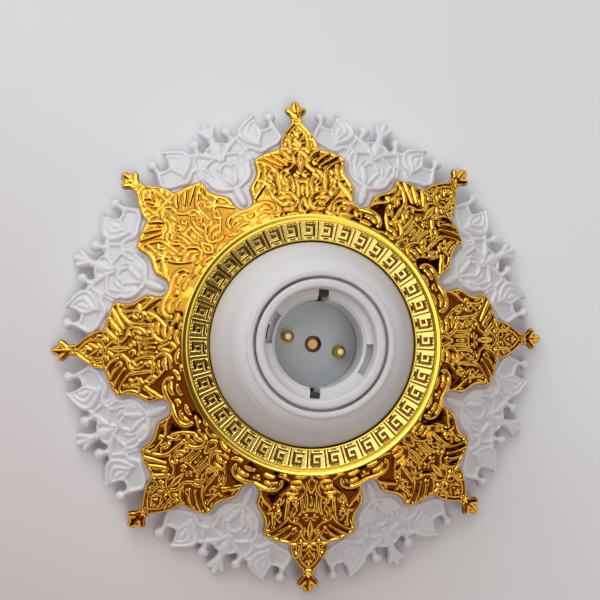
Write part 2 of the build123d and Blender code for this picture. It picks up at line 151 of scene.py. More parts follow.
def cutToEdge(bm, insideOf, cell):
    # keep the cells that touch the outline and pull their outer corners onto it
    bm.verts.ensure_lookup_table()
    w = numpy.array([v.co.y for v in bm.verts])
    r = numpy.array([v.co.x for v in bm.verts])
    keep = insideOf(w, r) > edgeCut["margin"]
    for v, k in zip(bm.verts, keep):
        v.tag = bool(k)
    lost = [f for f in bm.faces if not any(v.tag for v in f.verts)]
    bmesh.ops.delete(bm, geom=lost, context="FACES")
    out = [v for v in bm.verts if not v.tag]
    w = numpy.array([v.co.y for v in out])
    r = numpy.array([v.co.x for v in out])
    step = cell * edgeCut["probe"]
    for pull in range(edgeCut["rounds"]):
        here = insideOf(w, r)
        dw = (insideOf(w + step, r) - insideOf(w - step, r)) / (2 * step)
        dr = (insideOf(w, r + step) - insideOf(w, r - step)) / (2 * step)
        size = numpy.maximum(dw ** 2 + dr ** 2, edgeCut["leastSlope"])
        w = w - here * dw / size
        r = r - here * dr / size
    for v, a, b in zip(out, w, r):
        v.co.y = a
        v.co.x = b


def reliefHalf(sheet, insideOf, edgeOf, heightOf):
    # half a point (or half a lobe): relief on top, side walls and a plain underside
    bm = bmesh.new()
    cell = sheet["cell"]
    across = round(sheet["wide"] / cell)
    along = round((sheet["outer"] - sheet["inner"]) / cell)
    bmesh.ops.create_grid(bm, x_segments=along, y_segments=across, size=0.5)
    bmesh.ops.translate(bm, verts=bm.verts, vec=(0.5, 0.5, 0))
    bmesh.ops.scale(bm, verts=bm.verts, vec=(along * cell, across * cell, 1))
    bmesh.ops.translate(bm, verts=bm.verts, vec=(sheet["inner"], 0, 0))
    cutToEdge(bm, insideOf, cell)
    w = numpy.array([v.co.y for v in bm.verts])
    r = numpy.array([v.co.x for v in bm.verts])
    rise = heightOf(w, r)
    edge = numpy.clip(edgeOf(w, r) / sheet["edgeRound"], 0, 1)
    rise = rise - sheet["edgeDrop"] * (1 - numpy.sqrt(1 - (1 - edge) ** 2))
    marks = bm.verts.layers.float.new("relief")
    for v, a, b, h in zip(bm.verts, w, r, rise):
        v[marks] = h
        v.co = (b * art, a * art, 0)
    top = list(bm.faces)
    rim = [e for e in bm.edges if e.is_boundary]
    under = bmesh.ops.duplicate(bm, geom=list(bm.verts) + list(bm.edges) + top)
    twin = under["vert_map"]
    low = [g for g in under["geom"] if isinstance(g, bmesh.types.BMVert)]
    lowFaces = [g for g in under["geom"] if isinstance(g, bmesh.types.BMFace)]
    lowEdges = [g for g in under["geom"] if isinstance(g, bmesh.types.BMEdge) and not g.is_boundary]
    for v in low:
        v[marks] = -1.0
        v.co.z = -1.0  # tells the underside from the top until the heights are set
    for e in rim:
        a, b = e.verts
        onAxis = abs(a.co.y) < 1e-4 and abs(b.co.y) < 1e-4
        onBorder = all(abs(v.co.y - v.co.x * math.tan(valleyTurn)) < 1e-3 for v in (a, b))
        if not onAxis and not onBorder:
            bm.faces.new((a, b, twin[b], twin[a]))
    bmesh.ops.reverse_faces(bm, faces=lowFaces)
    bmesh.ops.dissolve_limit(bm, angle_limit=0.01, verts=low, edges=lowEdges)
    bm.verts.ensure_lookup_table()
    x = numpy.array([v.co.x for v in bm.verts])
    y = numpy.array([v.co.y for v in bm.verts])
    base = coneHeight(x, y) - sheet["drop"]
    ripple = numpy.sin((0.95 * y + 1.25 * x) / art)
    wave = sheet["wave"] * ripple * numpy.sin((1.15 * y - 0.75 * x) / art + 1.0)
    for v, h, u in zip(bm.verts, base, wave):
        below = v.co.z < -0.5
        v.co.z = h + (-sheet["thickness"] if below else v[marks] + u)
    half = list(bm.verts) + list(bm.edges) + list(bm.faces)
    bmesh.ops.mirror(bm, geom=half, axis="Y", merge_dist=weld["mirror"])
    if sheet["turn"]:
        spin = Matrix.Rotation(sheet["turn"], 3, "Z")
        bmesh.ops.rotate(bm, verts=bm.verts, cent=(0, 0, 0), matrix=spin)
    return bm


def roundTheAxis(bm, count):
    whole = list(bm.verts) + list(bm.edges) + list(bm.faces)
    bmesh.ops.spin(bm, geom=whole, cent=(0, 0, 0), axis=(0, 0, 1), angle=2 * math.pi * (count - 1) / count,
                   steps=count - 1, use_duplicate=True)
    bmesh.ops.remove_doubles(bm, verts=bm.verts, dist=weld["spin"])
    bmesh.ops.recalc_face_normals(bm, faces=bm.faces)


def finishPiece(bm, name, material, body, replaced, sharp):
    bmesh.ops.scale(bm, verts=bm.verts, vec=(0.001, 0.001, 0.001))
    mesh = bpy.data.meshes.new(name)
    bm.to_mesh(mesh)
    bm.free()
    for face in mesh.polygons:
        face.use_smooth = abs(face.normal.z) < 0.9999  # level faces stay flat
    mesh.set_sharp_from_angle(angle=math.radians(sharp))
    piece = bpy.data.objects.new(name, mesh)
    bpy.context.scene.collection.objects.link(piece)
    piece.data.materials.append(material)
    if body:
        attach(piece, body)
    if replaced:
        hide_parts(*replaced)
    print(name, len(mesh.polygons), "faces")
    return piece


# shader groups that several finishes share
def newGroup(name, inputs, outputs):
    group = bpy.data.node_groups.new(name, "ShaderNodeTree")
    for label, kind, value in inputs:
        socket = group.interface.new_socket(label, in_out="INPUT", socket_type=kind)
        socket.default_value = value
    for label, kind in outputs:
        group.interface.new_socket(label, in_out="OUTPUT", socket_type=kind)
    start = group.nodes.new("NodeGroupInput")
    end = group.nodes.new("NodeGroupOutput")
    return group, start, end


def buildMouldedSkin():
    # faint unevenness of a moulded surface: colour, roughness and height
    group, start, end = newGroup(
        "mouldedSkin",
        [
            ("Color", "NodeSocketColor", (1, 1, 1, 1)),
            ("Shade", "NodeSocketColor", (0.8, 0.8, 0.8, 1)),
            ("Roughness", "NodeSocketFloat", 0.3),
            ("Scale", "NodeSocketFloat", 60.0),
            ("Amount", "NodeSocketFloat", 0.1),
            ("Spread", "NodeSocketFloat", 0.1),
        ],
        [("Color", "NodeSocketColor"), ("Roughness", "NodeSocketFloat"), ("Height", "NodeSocketFloat")],
    )
    tree = group.nodes
    place = tree.new("ShaderNodeTexCoord")
    cloud = tree.new("ShaderNodeTexNoise")
    cloud.inputs["Detail"].default_value = 4
    fine = tree.new("ShaderNodeTexNoise")
    fine.inputs["Scale"].default_value = 900
    mix = tree.new("ShaderNodeMix")
    mix.data_type = "RGBA"
    share = tree.new("ShaderNodeMath")
    share.operation = "MULTIPLY"
    spread = tree.new("ShaderNodeMath")
    spread.operation = "MULTIPLY_ADD"
    link = group.links.new
    link(place.outputs["Object"], cloud.inputs["Vector"])
    link(place.outputs["Object"], fine.inputs["Vector"])
    link(start.outputs["Scale"], cloud.inputs["Scale"])
    link(cloud.outputs["Fac"], share.inputs[0])
    link(start.outputs["Amount"], share.inputs[1])
    link(share.outputs[0], mix.inputs["Factor"])
    link(start.outputs["Color"], mix.inputs["A"])
    link(start.outputs["Shade"], mix.inputs["B"])
    link(cloud.outputs["Fac"], spread.inputs[0])
    link(start.outputs["Spread"], spread.inputs[1])
    link(start.outputs["Roughness"], spread.inputs[2])
    link(mix.outputs["Result"], end.inputs["Color"])
    link(spread.outputs[0], end.inputs["Roughness"])
    link(fine.outputs["Fac"], end.inputs["Height"])
    return group


def buildReliefTint():
    # painted shade: the colour is darker where the relief is low, in its hollows
    group, start, end = newGroup(
        "reliefTint",
        [
            ("Ridge", "NodeSocketColor", (1, 0.8, 0.3, 1)),
            ("Hollow", "NodeSocketColor", (0.6, 0.3, 0.05, 1)),
            ("Low", "NodeSocketFloat", 0.0),
            ("High", "NodeSocketFloat", 0.8),
        ],
        [("Color", "NodeSocketColor")],
    )
    tree = group.nodes
    height = tree.new("ShaderNodeAttribute")
    height.attribute_name = "relief"
    span = tree.new("ShaderNodeMapRange")
    span.interpolation_type = "SMOOTHSTEP"
    mix = tree.new("ShaderNodeMix")
    mix.data_type = "RGBA"
    link = group.links.new
    link(height.outputs["Fac"], span.inputs["Value"])
    link(start.outputs["Low"], span.inputs["From Min"])
    link(start.outputs["High"], span.inputs["From Max"])
    link(span.outputs["Result"], mix.inputs["Factor"])
    link(start.outputs["Hollow"], mix.inputs["A"])
    link(start.outputs["Ridge"], mix.inputs["B"])
    link(mix.outputs["Result"], end.inputs["Color"])
    return group


mouldedSkin = buildMouldedSkin()
reliefTint = buildReliefTint()


def newMaterial(name):
    material = bpy.data.materials.new(name)
    material.use_nodes = True
    tree = material.node_tree
    return material, tree, tree.nodes["Principled BSDF"]


surface = {
    "plasticBump": 0.0002,
    "platingBump": 0.0003,
    "coatRoughness": 0.08,
}


def skinned(name, look, depth):
    # uneven skin on every finish, and painted shade in the hollows where the finish has one
    material, tree, shader = newMaterial(name)
    skin = tree.nodes.new("ShaderNodeGroup")
    skin.node_tree = mouldedSkin
    for socket in ("Color", "Shade", "Roughness", "Scale", "Amount", "Spread"):
        skin.inputs[socket].default_value = look[socket.lower()]
    bump = tree.nodes.new("ShaderNodeBump")
    bump.inputs["Strength"].default_value = look["bump"]
    bump.inputs["Distance"].default_value = depth
    color = skin.outputs["Color"]
    if "hollow" in look:
        tint = tree.nodes.new("ShaderNodeGroup")
        tint.node_tree = reliefTint
        for socket in ("Hollow", "Low", "High"):
            tint.inputs[socket].default_value = look[socket.lower()]
        tree.links.new(color, tint.inputs["Ridge"])
        color = tint.outputs["Color"]
    tree.links.new(color, shader.inputs["Base Color"])
    tree.links.new(skin.outputs["Roughness"], shader.inputs["Roughness"])
    tree.links.new(skin.outputs["Height"], bump.inputs["Height"])
    tree.links.new(bump.outputs["Normal"], shader.inputs["Normal"])
    return material, shader


def plastic(name, look):
    material, shader = skinned(name, look, surface["plasticBump"])
    shader.inputs["Coat Weight"].default_value = look["coat"]
    shader.inputs["Coat Roughness"].default_value = surface["coatRoughness"]
    return material


def plating(name, look):
    material, shader = skinned(name, look, surface["platingBump"])
    shader.inputs["Metallic"].default_value = 1
    return material


finishes = {
    "mirrorGold": {
        # its third colour is painted shade, used where the relief is low
        "color": (1.0, 0.60, 0.09, 1), "shade": (0.98, 0.50, 0.05, 1), "hollow": (0.43, 0.16, 0.01, 1),
        "low": -0.06, "high": 0.10,
        "roughness": 0.015, "spread": 0.03, "scale": 90.0, "amount": 0.5, "bump": 0.04,
    },
    "ringGold": {
        "color": (0.95, 0.70, 0.11, 1), "shade": (0.92, 0.63, 0.08, 1),
        "roughness": 0.06, "spread": 0.04, "scale": 90.0, "amount": 0.4, "bump": 0.03,
    },
    "paleGold": {
        # its third colour is painted shade in the recesses of the key
        "color": (0.92, 0.73, 0.22, 1), "shade": (0.86, 0.62, 0.15, 1), "hollow": (0.15, 0.08, 0.02, 1),
        "low": 0.0, "high": 0.26,
        "roughness": 0.06, "spread": 0.05, "scale": 120.0, "amount": 0.5, "bump": 0.06,
    },
    "brass": {
        "color": (0.90, 0.65, 0.28, 1), "shade": (0.76, 0.48, 0.17, 1),
        "roughness": 0.28, "spread": 0.12, "scale": 300.0, "amount": 0.5, "bump": 0.1,
    },
    # brass darker than the pins' brass
    "agedBrass": {
        "color": (0.60, 0.40, 0.17, 1), "shade": (0.44, 0.27, 0.10, 1),
        "roughness": 0.3, "spread": 0.12, "scale": 300.0, "amount": 0.5, "bump": 0.1,
    },
    # brass darkened with painted shade, for the recess round the centre screw
    "darkBrass": {
        "color": (0.17, 0.085, 0.05, 1), "shade": (0.10, 0.05, 0.03, 1),
        "roughness": 0.25, "spread": 0.12, "scale": 300.0, "amount": 0.5, "bump": 0.1,
    },
    "steel": {
        "color": (0.60, 0.60, 0.61, 1), "shade": (0.45, 0.45, 0.46, 1),
        "roughness": 0.25, "spread": 0.12, "scale": 300.0, "amount": 0.5, "bump": 0.1,
    },
    "whiteFiligree": {
        # its third colour is painted shade in the recessed panels between the strokes
        "color": (0.86, 0.86, 0.88, 1), "shade": (0.80, 0.79, 0.83, 1), "hollow": (0.78, 0.77, 0.81, 1),
        "low": 0.0, "high": 0.6,
        "roughness": 0.22, "spread": 0.12, "scale": 70.0, "amount": 0.3, "bump": 0.05, "coat": 0.3,
    },
    "whiteBell": {
        "color": (0.79, 0.78, 0.79, 1), "shade": (0.75, 0.73, 0.75, 1),
        "roughness": 0.42, "spread": 0.12, "scale": 40.0, "amount": 0.3, "bump": 0.03, "coat": 0.0,
    },
    "whiteBase": {
        "color": (0.80, 0.80, 0.80, 1), "shade": (0.74, 0.74, 0.75, 1),
        "roughness": 0.4, "spread": 0.12, "scale": 50.0, "amount": 0.4, "bump": 0.08, "coat": 0.0,
    },
    "slotShade": {
        "color": (0.06, 0.045, 0.04, 1), "shade": (0.04, 0.03, 0.03, 1),
        "roughness": 0.7, "spread": 0.1, "scale": 120.0, "amount": 0.5, "bump": 0.1, "coat": 0.0,
    },
    "greyInsert": {
        "color": (0.57, 0.61, 0.64, 1), "shade": (0.52, 0.55, 0.58, 1),
        "roughness": 0.5, "spread": 0.12, "scale": 120.0, "amount": 0.5, "bump": 0.1, "coat": 0.0,
    },
}
mirrorGold = plating("mirrorGold", finishes["mirrorGold"])
ringGold = plating("ringGold", finishes["ringGold"])
paleGold = plating("paleGold", finishes["paleGold"])
brass = plating("brass", finishes["brass"])
agedBrass = plating("agedBrass", finishes["agedBrass"])
darkBrass = plating("darkBrass", finishes["darkBrass"])
steel = plating("steel", finishes["steel"])
whiteFiligree = plastic("whiteFiligree", finishes["whiteFiligree"])
whiteBell = plastic("whiteBell", finishes["whiteBell"])
whiteBase = plastic("whiteBase", finishes["whiteBase"])
slotShade = plastic("slotShade", finishes["slotShade"])
greyInsert = plastic("greyInsert", finishes["greyInsert"])
print("finishes ready")

# gold star, drawn about the axis of one point
goldStar = {
    "cell": 0.24,
    "wide": 16.0,
    "inner": 26.2,
    "outer": 63.3,
    "drop": 0.0,
    "thickness": 2.2,
    "edgeRound": 0.5,
    "edgeDrop": 0.5,
    "turn": 0.0,
    "lift": 0.62,  # share of the drawn heights
    "softness": 1.0,
    "wave": 0.03,  # gentle unevenness of the plated sheet
    "groove": 0.06,  # at the foot of each ridge
    "grooveGap": 0.1,
    "grooveWide": 0.16,
    "bore": 28.8,
    "valley": 35.0,  # radius where neighbouring points part
    "edgeStart": 32.5,
    "beadInset": 0.55,  # narrow bead along the outline
    "beadHalf": 0.4,
    "beadRise": 0.5,
    "sharp": 55.0,
}
goldOutline = [
    (0.0, 20.0), (9.0, 20.0), (14.6, 33.0), (13.7, 33.08), (12.9, 33.6), (12.35, 34.5), (12.3, 35.4),
    (12.6, 36.6), (13.0, 38.0), (12.6, 39.1), (11.6, 40.8), (11.1, 42.3), (11.0, 43.7), (11.5, 45.4),
    (11.3, 46.3), (9.75, 47.3), (7.7, 48.2), (5.6, 48.85), (4.75, 49.3), (4.65, 50.4), (4.3, 51.9),
    (3.5, 53.3), (2.4, 54.9), (1.55, 56.1), (1.45, 57.2), (1.3, 57.7), (1.7, 58.6), (2.5, 59.4),
    (2.8, 60.2), (2.4, 61.05), (1.6, 60.9), (1.2, 61.4), (1.0, 62.3), (0.5, 62.85), (0.0, 63.0),
    (-3.0, 63.0), (-3.0, 20.0),
]
goldStrokes = [
    (0.95, 0.85, 0.2, [(0, 58.4), (0, 60.5), (0, 62.2)]),
    (0.8, 0.75, 0.1, [(0.4, 58.8), (1.4, 59.7), (2.1, 60.4)]),
    (0.4, 0.6, 0.0, [(0, 57.3), (1.3, 57.3)]),
    (0.38, 0.5, 0.0, [(0, 56.3), (1.5, 56.3)]),
    (0.45, 0.75, 0.1, [(4.25, 49.5), (4.15, 50.7), (3.2, 53.0), (1.5, 55.6)]),
    (0.42, 0.7, 0.1, [(2.2, 49.2), (2.3, 51.5), (1.8, 53.4), (0, 55.4)]),
    (0.75, 0.9, 0.6, [(0, 52.2), (0, 53.2), (0, 54.5)]),
    (0.4, 0.6, 0.2, [(0.5, 52.8), (1.1, 54.0)]),
    (0.45, 0.7, 0.5, [(0.1, 50.3), (0.8, 51.4), (1.6, 52.9)]),
    (0.45, 0.6, 0.3, [(0.2, 49.7), (1.3, 50.4)]),
    (0.6, 0.75, 0.0, [(2.1, 48.3), (2.5, 48.3)]),
    (0.48, 0.6, 0.2, [(3.15, 51.5), (3.1, 52.4)]),
    (0.42, 0.55, 0.2, [(3.3, 49.9), (3.35, 50.6)]),
    (0.35, 0.5, 0.0, [(0, 48.95), (4.5, 48.95)]),
    (0.42, 0.7, 0.1, [(0.15, 48.3), (1.6, 46.7), (1.6, 44.4), (3.3, 42.5)]),
    (0.85, 0.9, 0.9, [(0, 42.6), (0, 45.2), (0, 47.8)]),
    (0.7, 0.9, 0.6, [(4.9, 48.3), (3.4, 47.2), (2.3, 45.5)]),
    (0.7, 0.9, 0.6, [(7.3, 47.3), (5.6, 46.3), (4.0, 44.7)]),
    (0.65, 0.85, 0.6, [(9.8, 46.7), (7.6, 45.7), (4.8, 43.9)]),
    (0.32, 0.6, 0.2, [(4.0, 45.9), (3.3, 45.3), (3.5, 44.6)]),
    (0.45, 0.8, 0.1, [(11.1, 45.4), (8.6, 44.6), (6.2, 42.5), (5.7, 40.0), (5.5, 36.9)]),
    (0.4, 0.65, 0.1, [(10.9, 44.6), (10.2, 43.2), (10.4, 41.4), (11.8, 38.9), (11.9, 36.9)]),
    (0.4, 0.6, 0.1, [(9.2, 44.3), (8.8, 43.0), (9.0, 41.6)]),
    (0.4, 0.6, 0.2, [(7.4, 42.6), (7.9, 41.7), (7.2, 40.9)]),
    (0.8, 0.85, 0.6, [(9.7, 38.3), (10.9, 36.9), (11.8, 35.1)]),
    (0.5, 0.7, 0.4, [(7.2, 38.0), (6.8, 36.9), (7.4, 35.9)]),
    (0.4, 0.65, 0.1, [(8.5, 37.9), (7.7, 36.4), (6.6, 35.1), (5.0, 33.7)]),
    (0.42, 0.75, 0.1, [(3.2, 43.0), (4.7, 42.3), (5.0, 40.7), (4.4, 39.3), (3.6, 38.7)]),
    (0.38, 0.7, 0.1, [(3.1, 41.8), (4.0, 41.2), (4.0, 40.3), (3.4, 39.7)]),
    (0.75, 0.9, 0.0, [(3.6, 37.8), (3.7, 37.8)]),
    (0.36, 0.6, 0.0, [(0.9, 42.4), (0.5, 41.8), (1.0, 41.2), (1.6, 41.6)]),
    (0.4, 0.65, 0.1, [(1.5, 40.3), (1.1, 38.4), (1.1, 36.0)]),
    (0.4, 0.65, 0.1, [(2.7, 40.9), (2.1, 38.6), (2.3, 36.6)]),
    (0.4, 0.6, 0.0, [(0, 39.8), (0.9, 39.8)]),
    (0.4, 0.5, 0.3, [(0, 36.4), (0, 38.6)]),
    (0.45, 0.8, 0.1, [
        (5.5, 36.7), (4.1, 36.9), (2.7, 36.3), (1.5, 34.7), (1.7, 33.3), (2.9, 32.6), (4.6, 32.4),
    ]),
    (0.6, 0.75, 0.5, [(2.5, 33.7), (3.7, 34.2), (4.8, 33.8)]),
    (0.55, 0.7, 0.5, [(3.3, 35.4), (4.6, 35.7), (6.0, 35.2)]),
    (0.45, 0.7, 0.2, [(0, 31.4), (1.0, 32.4), (0.5, 33.9), (0, 35.2)]),
    (0.5, 0.65, 0.4, [(0.7, 30.6), (2.2, 31.2), (3.8, 31.0)]),
    (0.48, 0.8, 0.1, [(14.0, 32.2), (12.8, 33.0), (10.9, 34.0), (9.0, 34.3), (7.6, 33.6), (7.2, 32.4)]),
    (0.6, 0.75, 0.5, [(8.3, 32.6), (9.6, 32.9), (11.0, 32.2)]),
    (0.5, 0.7, 0.4, [(12.3, 31.5), (12.6, 31.0), (12.9, 30.6)]),
    (0.5, 0.7, 0.5, [(5.4, 31.8), (6.3, 31.0), (7.7, 30.7)]),
    (0.5, 0.7, 0.5, [(8.8, 31.2), (10.0, 30.9), (11.1, 30.2)]),
    (0.45, 0.6, 0.3, [(4.3, 30.2), (5.4, 29.9)]),
]
rosette = {
    "at": (8.8, 39.7),
    "petals": 5,
    "turn": 0.3,
    "from": 0.5,
    "to": 1.35,
    "half": 0.6,
    "rise": 0.8,
    "eye": 0.42,
    "eyeRise": 0.95,
    "dot": 0.02,  # length of a stroke that is a round dot
}


def addRosette(strokes):
    w, r = rosette["at"]
    for petal in range(rosette["petals"]):
        turn = 2 * math.pi * petal / rosette["petals"] + rosette["turn"]
        start = (w + rosette["from"] * math.cos(turn), r + rosette["from"] * math.sin(turn))
        end = (w + rosette["to"] * math.cos(turn), r + rosette["to"] * math.sin(turn))
        strokes.append((rosette["half"], rosette["rise"], 0.0, [start, end]))
    strokes.append((rosette["eye"], rosette["eyeRise"], 0.0, [(w, r), (w + rosette["dot"], r)]))


addRosette(goldStrokes)


def goldInside(w, r):
    border = r * math.sin(valleyTurn) - w * math.cos(valleyTurn)  # half a point ends at the valley line
    bore = numpy.hypot(w, r) - goldStar["bore"]
    inner = numpy.minimum(bore, numpy.where(r < goldStar["valley"], border, clear))
    return numpy.minimum(insidePolygon(w, r, goldOutline), inner)


def goldEdge(w, r):
    return numpy.where(r > goldStar["edgeStart"], insidePolygon(w, r, goldOutline), clear)


def goldRelief(w, r):
    border = numpy.minimum(numpy.abs(goldEdge(w, r) - goldStar["beadInset"]) / goldStar["beadHalf"], 1)
    bead = goldStar["beadRise"] * (1 - border ** 2) ** goldStar["softness"]
    ridges = numpy.maximum(raised(w, r, goldStrokes, goldStar["softness"]), bead)
    gap = numpy.full(w.shape, clear)
    for stroke in goldStrokes:
        gap = numpy.minimum(gap, stroke[0] * (strokeReach(w, r, stroke) - 1))
    foot = numpy.exp(-((gap - goldStar["grooveGap"]) / goldStar["grooveWide"]) ** 2)
    return goldStar["lift"] * ridges - goldStar["groove"] * foot


starSheet = reliefHalf(goldStar, goldInside, goldEdge, goldRelief)
roundTheAxis(starSheet, rose["points"])
finishPiece(starSheet, "goldStar", mirrorGold, "holder", ["star_plate"], goldStar["sharp"])
print("gold star done")

# white filigree, drawn about a valley line
filigree = {
    "cell": 0.28,
    "wide": 22.0,
    "inner": 33.6,
    "outer": 63.3,
    "drop": 2.7,
    "thickness": 1.8,
    "edgeRound": 0.6,
    "edgeDrop": 0.4,
    "turn": valleyTurn,
    "lift": 1.0,  # share of the drawn heights
    "softness": 0.8,
    "wave": 0.0,
    "bore": 34.0,
    "plump": 0.6,  # rise of flowers and leaves within their outline
    "plumpEdge": 0.6,
    "sharp": 55.0,
}
whiteWeb = [
    (-3.0, 20.0), (30.0, 20.0), (30.0, 46.0), (20.4, 49.3), (17.6, 50.4), (16.8, 51.2), (16.65, 52.4),
    (16.4, 54.0), (16.5, 55.0), (15.2, 55.2), (14.8, 54.4), (14.2, 54.25), (12.6, 54.3), (11.0, 54.5),
    (7.4, 55.7), (6.2, 55.5), (5.5, 55.7), (3.9, 55.4), (3.4, 54.4), (2.7, 54.1), (2.0, 54.5),
    (1.3, 55.1), (0.9, 55.4), (-3.0, 55.4),
]
tulip = [
    (6.75, 55.2), (7.35, 56.4), (9.1, 57.8), (11.4, 58.9), (12.8, 59.2), (12.5, 57.5), (12.5, 55.8),
    (12.75, 54.2), (12.4, 53.2), (11.3, 52.4), (10.85, 51.6), (10.65, 50.2), (10.3, 50.3), (8.7, 51.5),
    (7.1, 53.6),
]
finial = [
    (-3.0, 55.0), (1.05, 55.0), (1.0, 55.9), (1.1, 56.9), (1.5, 58.0), (1.95, 58.9), (2.35, 59.7),
    (2.25, 60.4), (1.7, 60.8), (1.1, 60.55), (0.9, 60.8), (0.88, 61.3), (0.6, 61.9), (0.0, 62.15),
    (-3.0, 62.15),
]
whiteStrokes = [
    (0.85, 1.3, 0.1, [(0, 57.4), (0, 59.6), (0, 61.2)]),
    (0.8, 1.2, 0.1, [(0.3, 57.6), (1.1, 59.0), (1.7, 60.1)]),
    (0.95, 1.0, 0.0, [(0, 55.6), (0, 57.0)]),
    (1.55, 1.25, 0.0, [(0, 54.0), (0, 53.6)]),
    (1.0, 1.15, 0.6, [(0, 53.4), (0, 52.2), (0, 51.0)]),
    (0.5, 1.1, 0.0, [(2.7, 54.0), (2.3, 53.0), (1.4, 51.8), (0.3, 50.4)]),
    (0.5, 1.0, 0.0, [(0.6, 55.1), (1.7, 54.9), (2.8, 54.1), (3.8, 53.9)]),
    (0.6, 1.15, 0.0, [(1.2, 51.8), (3.1, 53.1), (5.2, 54.3), (6.9, 55.1)]),
    (1.4, 1.6, 0.0, [(4.4, 57.3), (4.42, 57.3)]),
    (0.65, 1.15, 0.0, [(4.45, 56.6), (4.65, 55.4), (4.9, 54.4)]),
    (0.5, 1.0, 0.0, [(5.7, 54.3), (6.3, 52.6), (6.7, 51.0)]),
    (0.7, 1.3, 0.2, [
        (10.4, 50.6), (8.7, 52.0), (7.5, 53.7), (7.3, 55.2), (7.9, 56.4), (9.5, 57.5), (12.4, 58.7),
    ]),
    (0.55, 1.1, 0.2, [(12.1, 57.4), (12.0, 55.9), (12.3, 54.3), (12.0, 53.3)]),
    (0.7, 1.2, 0.3, [(10.4, 50.9), (10.3, 52.3), (9.3, 54.0), (9.1, 55.3), (10.1, 56.4), (11.6, 57.2)]),
    (0.6, 1.1, 0.2, [(10.8, 51.6), (11.5, 52.7), (12.1, 53.2)]),
    (0.85, 1.15, 0.3, [(10.8, 53.4), (10.7, 54.6), (11.2, 55.8)]),
    (1.45, 1.6, 0.0, [(16.25, 56.7), (16.27, 56.7)]),
    (0.65, 1.15, 0.0, [(16.1, 56.0), (15.85, 55.0), (15.8, 54.0), (16.05, 52.4), (16.2, 50.9)]),
    (0.55, 1.0, 0.0, [(15.6, 54.1), (14.2, 53.7), (12.9, 53.9)]),
    (0.7, 1.2, 0.0, [
        (16.0, 50.2), (14.6, 49.3), (12.6, 49.0), (10.4, 48.6), (9.3, 49.3), (8.3, 50.5), (6.9, 50.9),
    ]),
    (0.6, 1.1, 0.0, [(7.4, 50.9), (6.4, 50.8), (5.5, 50.2)]),
    (0.55, 1.1, 0.0, [(1.5, 51.6), (3.6, 50.9), (5.3, 50.0)]),
    (0.5, 1.1, 0.0, [(4.9, 50.2), (4.4, 48.8), (4.3, 47.2), (4.0, 46.2)]),
    (0.55, 1.1, 0.0, [(5.5, 50.3), (6.0, 48.8), (5.9, 47.3), (5.5, 46.4)]),
    (0.4, 0.8, 0.0, [(6.8, 50.8), (6.8, 49.2), (7.0, 47.8)]),
    (0.85, 1.15, 0.2, [(5.2, 46.6), (5.0, 45.0), (4.1, 43.7), (2.8, 42.8), (1.4, 42.3)]),
    (1.5, 1.15, 0.0, [(3.6, 45.4), (2.8, 44.2)]),
    (1.0, 1.45, 0.4, [(0.5, 43.3), (1.2, 45.0), (2.1, 47.0)]),
    (0.6, 1.05, 0.0, [(1.6, 47.9), (1.0, 48.8), (0, 49.2)]),
    (0.55, 0.95, 0.2, [(2.3, 48.8), (3.0, 47.8), (3.1, 46.6)]),
    (1.4, 1.3, 0.35, [(0, 37.4), (0, 39.6), (0, 41.6)]),
    (0.55, 1.15, 0.0, [(0, 42.1), (1.4, 42.0)]),
]


def whiteShape(w, r):
    best = insidePolygon(w, r, whiteWeb)
    for outline in (tulip, finial):
        best = numpy.maximum(best, insidePolygon(w, r, outline))
    for stroke in whiteStrokes:
        best = numpy.maximum(best, stroke[0] * (1 - strokeReach(w, r, stroke)))
    return best


def whiteInside(w, r):
    border = r * math.sin(valleyTurn) - w * math.cos(valleyTurn)  # half a lobe ends under the star's point
    bore = numpy.hypot(w, r) - filigree["bore"]
    return numpy.minimum(numpy.minimum(whiteShape(w, r), bore), border)


def whiteRelief(w, r):
    body = numpy.maximum(insidePolygon(w, r, tulip), insidePolygon(w, r, finial))
    plump = filigree["plump"] * numpy.clip(body / filigree["plumpEdge"], 0, 1)
    return filigree["lift"] * numpy.maximum(raised(w, r, whiteStrokes, filigree["softness"]), plump)


whiteSheet = reliefHalf(filigree, whiteInside, whiteShape, whiteRelief)
roundTheAxis(whiteSheet, rose["points"])
sharp = filigree["sharp"]
finishPiece(whiteSheet, "whiteFiligree", whiteFiligree, "holder", ["filigree_plate"], sharp)
print("white filigree done")

# ring: plain turned section, then a band with the key
keyRing = {
    "outer": 35.0,
    "inner": 27.8,
    "bead": 1.8,
    "beadRise": 0.24,
    "beadSteps": 14,
    "rim": 0.4,  # thin bead at the inner edge
    "rimRise": 0.25,
    "rimSteps": 6,
    "groove": 0.3,
    "grooveDepth": 0.5,
    "wall": 2.2,
    "steps": 200,
    "sharp": 40.0,
}
keyLines = {
    "count": 40,
    "relief": 0.5,
    "half": 0.16,  # half width of a line, as the unit is drawn
    "edge": 0.06,  # width of its sloping edge
    "cell": 0.13,
    "lift": 0.02,  # of the band above the ring's own floor
    "root": 0.2,
    "sharp": 60.0,
}
beadIn = keyRing["outer"] - keyRing["bead"]
bandOuter = beadIn - keyRing["groove"]
bandInner = keyRing["inner"] + keyRing["rim"]
keyFloor = ringTop - keyLines["relief"]


def turned(profile, steps):
    bm = bmesh.new()
    corners = [bm.verts.new((x, 0, z)) for x, z in profile]
    edges = [bm.edges.new(pair) for pair in zip(corners[:-1], corners[1:])]
    bmesh.ops.spin(bm, geom=corners + edges, cent=(0, 0, 0), axis=(0, 0, 1), angle=2 * math.pi, steps=steps,
                   use_merge=True)
    bmesh.ops.remove_doubles(bm, verts=bm.verts, dist=weld["turned"])
    bmesh.ops.recalc_face_normals(bm, faces=bm.faces)
    return bm


def beadArc(inner, outer, foot, rise, steps):
    # flat bead with rounded edges, from the outer side to the inner side
    middle = (inner + outer) / 2
    half = (outer - inner) / 2
    turns = [math.cos(math.pi * i / steps) for i in range(steps + 1)]
    return [(middle + half * t, foot + rise * (1 - t ** 6)) for t in turns]


